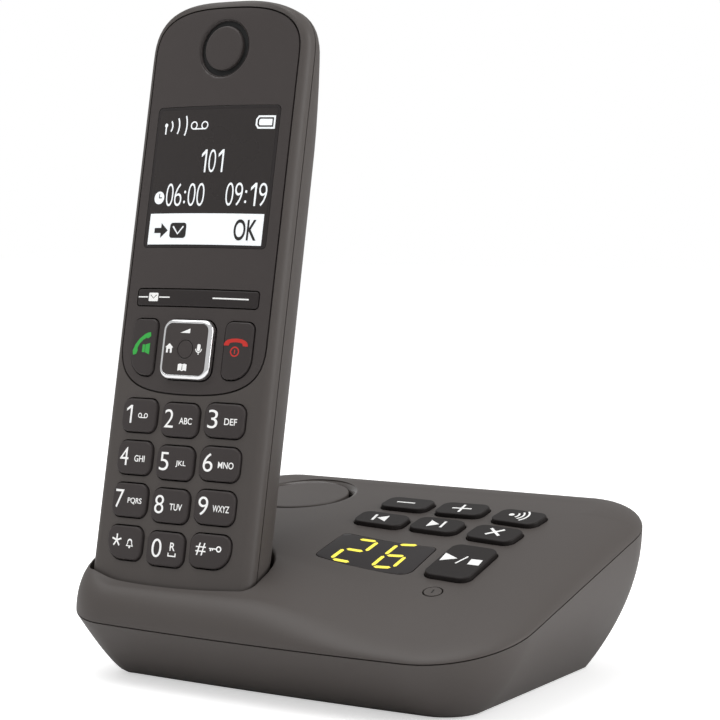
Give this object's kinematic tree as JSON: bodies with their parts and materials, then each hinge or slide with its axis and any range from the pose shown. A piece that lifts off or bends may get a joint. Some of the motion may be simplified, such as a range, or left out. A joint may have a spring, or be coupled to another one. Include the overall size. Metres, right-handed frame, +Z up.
{
  "type": "answering machine",
  "caption": "Desk-top answering machine: base station with message keys, counter window and speaker, and a cordless handset standing in its charging cradle.",
  "frame": {"origin": "on the table, under the middle of the base station", "axes": "+Z up; -Y is the front, where the handset stands; +X is to the right seen from the front"},
  "size_m": [0.1212, 0.0954, 0.1656],
  "materials": {
    "housing": "satin moulded",
    "face_plate": "smooth satin",
    "handset_key": "fine matt",
    "base_key": "fine matt",
    "led_window": "tinted, glossy",
    "display_window": "clear, glossy",
    "rubber": "matt",
    "chrome": "satin bright",
    "steel": "zinc plated",
    "contact": "gold plated",
    "circuit_board": "solder mask",
    "black_plastic": "moulded",
    "battery": "printed sleeve"
  },
  "bodies": {
    "base": {"base_upper_housing": "housing", "base_lower_housing": "housing", "base_foot_1": "rubber", "base_foot_2": "rubber", "base_foot_3": "rubber", "base_foot_4": "rubber", "base_screw_1": "steel", "base_screw_2": "steel", "base_screw_3": "steel", "base_circuit_board": "circuit_board", "base_key_mat": "rubber", "led_window": "led_window", "led_digit_module": "black_plastic", "speaker_cover": "housing", "speaker_driver": "black_plastic", "cradle_contact_left": "contact", "cradle_contact_right": "contact", "line_socket": "black_plastic", "power_socket": "black_plastic"},
    "handset": {"handset_front_shell": "housing", "handset_rear_shell": "housing", "handset_face_plate": "face_plate", "display_window": "display_window", "display_module": "black_plastic", "earpiece_disc": "face_plate", "earpiece_receiver": "steel", "handset_key_mat": "rubber", "handset_circuit_board": "circuit_board", "battery_left": "battery", "battery_right": "battery", "charge_contact_left": "contact", "charge_contact_right": "contact"},
    "battery_door": {"battery_door": "housing"},
    "display_key_rocker": {"display_key_rocker": "face_plate"},
    "nav_rocker": {"nav_pivot": "rubber"},
    "nav_key": {"nav_ring": "chrome", "nav_pad": "face_plate"},
    "nav_centre_key": {"nav_centre_key": "face_plate"},
    "talk_key": {"talk_key": "face_plate"},
    "end_key": {"end_key": "face_plate"},
    "volume_down_key": {"volume_down_key": "base_key"},
    "volume_up_key": {"volume_up_key": "base_key"},
    "paging_key": {"paging_key": "base_key"},
    "previous_key": {"previous_key": "base_key"},
    "next_key": {"next_key": "base_key"},
    "delete_key": {"delete_key": "base_key"},
    "play_stop_key": {"play_stop_key": "base_key"},
    "on_off_key": {"on_off_key": "housing"},
    "key_1": {"key_1": "handset_key"},
    "key_2": {"key_2": "handset_key"},
    "key_3": {"key_3": "handset_key"},
    "key_4": {"key_4": "handset_key"},
    "key_5": {"key_5": "handset_key"},
    "key_6": {"key_6": "handset_key"},
    "key_7": {"key_7": "handset_key"},
    "key_8": {"key_8": "handset_key"},
    "key_9": {"key_9": "handset_key"},
    "key_star": {"key_star": "handset_key"},
    "key_0": {"key_0": "handset_key"},
    "key_hash": {"key_hash": "handset_key"}
  },
  "joints": [
    {"name": "handset_lift", "type": "slide", "parent": "base", "child": "handset", "axis": [0, 0.2004, 0.9797], "range_m": [0, 0.045]},
    {"name": "volume_down_key_press", "type": "slide", "parent": "base", "child": "volume_down_key", "axis": [-0.0254, 0.1589, -0.987], "range_m": [0, 0.0008], "stiffness_N_per_m": 1000},
    {"name": "volume_up_key_press", "type": "slide", "parent": "base", "child": "volume_up_key", "axis": [-0.0105, 0.197, -0.9803], "range_m": [0, 0.0008], "stiffness_N_per_m": 1000},
    {"name": "paging_key_press", "type": "slide", "parent": "base", "child": "paging_key", "axis": [-0.0101, 0.2157, -0.9764], "range_m": [0, 0.0008], "stiffness_N_per_m": 1000},
    {"name": "previous_key_press", "type": "slide", "parent": "base", "child": "previous_key", "axis": [-0.0789, 0.1695, -0.9824], "range_m": [0, 0.0008], "stiffness_N_per_m": 1000},
    {"name": "next_key_press", "type": "slide", "parent": "base", "child": "next_key", "axis": [-0.0317, 0.2205, -0.9749], "range_m": [0, 0.0008], "stiffness_N_per_m": 1000},
    {"name": "delete_key_press", "type": "slide", "parent": "base", "child": "delete_key", "axis": [-0.0236, 0.2426, -0.9698], "range_m": [0, 0.0008], "stiffness_N_per_m": 1000},
    {"name": "play_stop_key_press", "type": "slide", "parent": "base", "child": "play_stop_key", "axis": [-0.0464, 0.275, -0.9603], "range_m": [0, 0.0008], "stiffness_N_per_m": 1000},
    {"name": "on_off_key_press", "type": "slide", "parent": "base", "child": "on_off_key", "axis": [-0.0624, 0.2951, -0.9534], "range_m": [0, 0.0006], "stiffness_N_per_m": 1000},
    {"name": "key_1_press", "type": "slide", "parent": "handset", "child": "key_1", "axis": [0, 0.9797, -0.2004], "range_m": [0, 0.0005], "stiffness_N_per_m": 1000},
    {"name": "key_2_press", "type": "slide", "parent": "handset", "child": "key_2", "axis": [0, 0.9797, -0.2004], "range_m": [0, 0.0005], "stiffness_N_per_m": 1000},
    {"name": "key_3_press", "type": "slide", "parent": "handset", "child": "key_3", "axis": [0, 0.9797, -0.2004], "range_m": [0, 0.0005], "stiffness_N_per_m": 1000},
    {"name": "key_4_press", "type": "slide", "parent": "handset", "child": "key_4", "axis": [0, 0.9797, -0.2004], "range_m": [0, 0.0005], "stiffness_N_per_m": 1000},
    {"name": "key_5_press", "type": "slide", "parent": "handset", "child": "key_5", "axis": [0, 0.9797, -0.2004], "range_m": [0, 0.0005], "stiffness_N_per_m": 1000},
    {"name": "key_6_press", "type": "slide", "parent": "handset", "child": "key_6", "axis": [0, 0.9797, -0.2004], "range_m": [0, 0.0005], "stiffness_N_per_m": 1000},
    {"name": "key_7_press", "type": "slide", "parent": "handset", "child": "key_7", "axis": [0, 0.9797, -0.2004], "range_m": [0, 0.0005], "stiffness_N_per_m": 1000},
    {"name": "key_8_press", "type": "slide", "parent": "handset", "child": "key_8", "axis": [0, 0.9797, -0.2004], "range_m": [0, 0.0005], "stiffness_N_per_m": 1000},
    {"name": "key_9_press", "type": "slide", "parent": "handset", "child": "key_9", "axis": [0, 0.9797, -0.2004], "range_m": [0, 0.0005], "stiffness_N_per_m": 1000},
    {"name": "key_star_press", "type": "slide", "parent": "handset", "child": "key_star", "axis": [0, 0.9797, -0.2004], "range_m": [0, 0.0005], "stiffness_N_per_m": 1000},
    {"name": "key_0_press", "type": "slide", "parent": "handset", "child": "key_0", "axis": [0, 0.9797, -0.2004], "range_m": [0, 0.0005], "stiffness_N_per_m": 1000},
    {"name": "key_hash_press", "type": "slide", "parent": "handset", "child": "key_hash", "axis": [0, 0.9797, -0.2004], "range_m": [0, 0.0005], "stiffness_N_per_m": 1000},
    {"name": "talk_key_press", "type": "slide", "parent": "handset", "child": "talk_key", "axis": [0, 0.9797, -0.2004], "range_m": [0, 0.0005], "stiffness_N_per_m": 1000},
    {"name": "end_key_press", "type": "slide", "parent": "handset", "child": "end_key", "axis": [0, 0.9797, -0.2004], "range_m": [0, 0.0005], "stiffness_N_per_m": 1000},
    {"name": "display_key_tilt", "type": "hinge", "parent": "handset", "child": "display_key_rocker", "pos_m": [-0.03165, -0.0245, 0.09257], "axis": [0, 0.2004, 0.9797], "range_deg": [-2, 2], "stiffness_Nm_per_rad": 0.05},
    {"name": "nav_tilt_up_down", "type": "hinge", "parent": "handset", "child": "nav_rocker", "pos_m": [-0.03165, -0.0251, 0.07963], "axis": [1, 0, 0], "range_deg": [-2.5, 2.5], "stiffness_Nm_per_rad": 0.05},
    {"name": "nav_tilt_left_right", "type": "hinge", "parent": "nav_rocker", "child": "nav_key", "pos_m": [-0.03165, -0.0251, 0.07963], "axis": [0, 0.2004, 0.9797], "range_deg": [-2.5, 2.5], "stiffness_Nm_per_rad": 0.05},
    {"name": "nav_centre_press", "type": "slide", "parent": "nav_key", "child": "nav_centre_key", "axis": [0, 0.9797, -0.2004], "range_m": [0, 0.0005], "stiffness_N_per_m": 1000},
    {"name": "battery_door_release", "type": "slide", "parent": "handset", "child": "battery_door", "axis": [0, 0.9797, -0.2004], "range_m": [0, 0.012]}
  ]
}
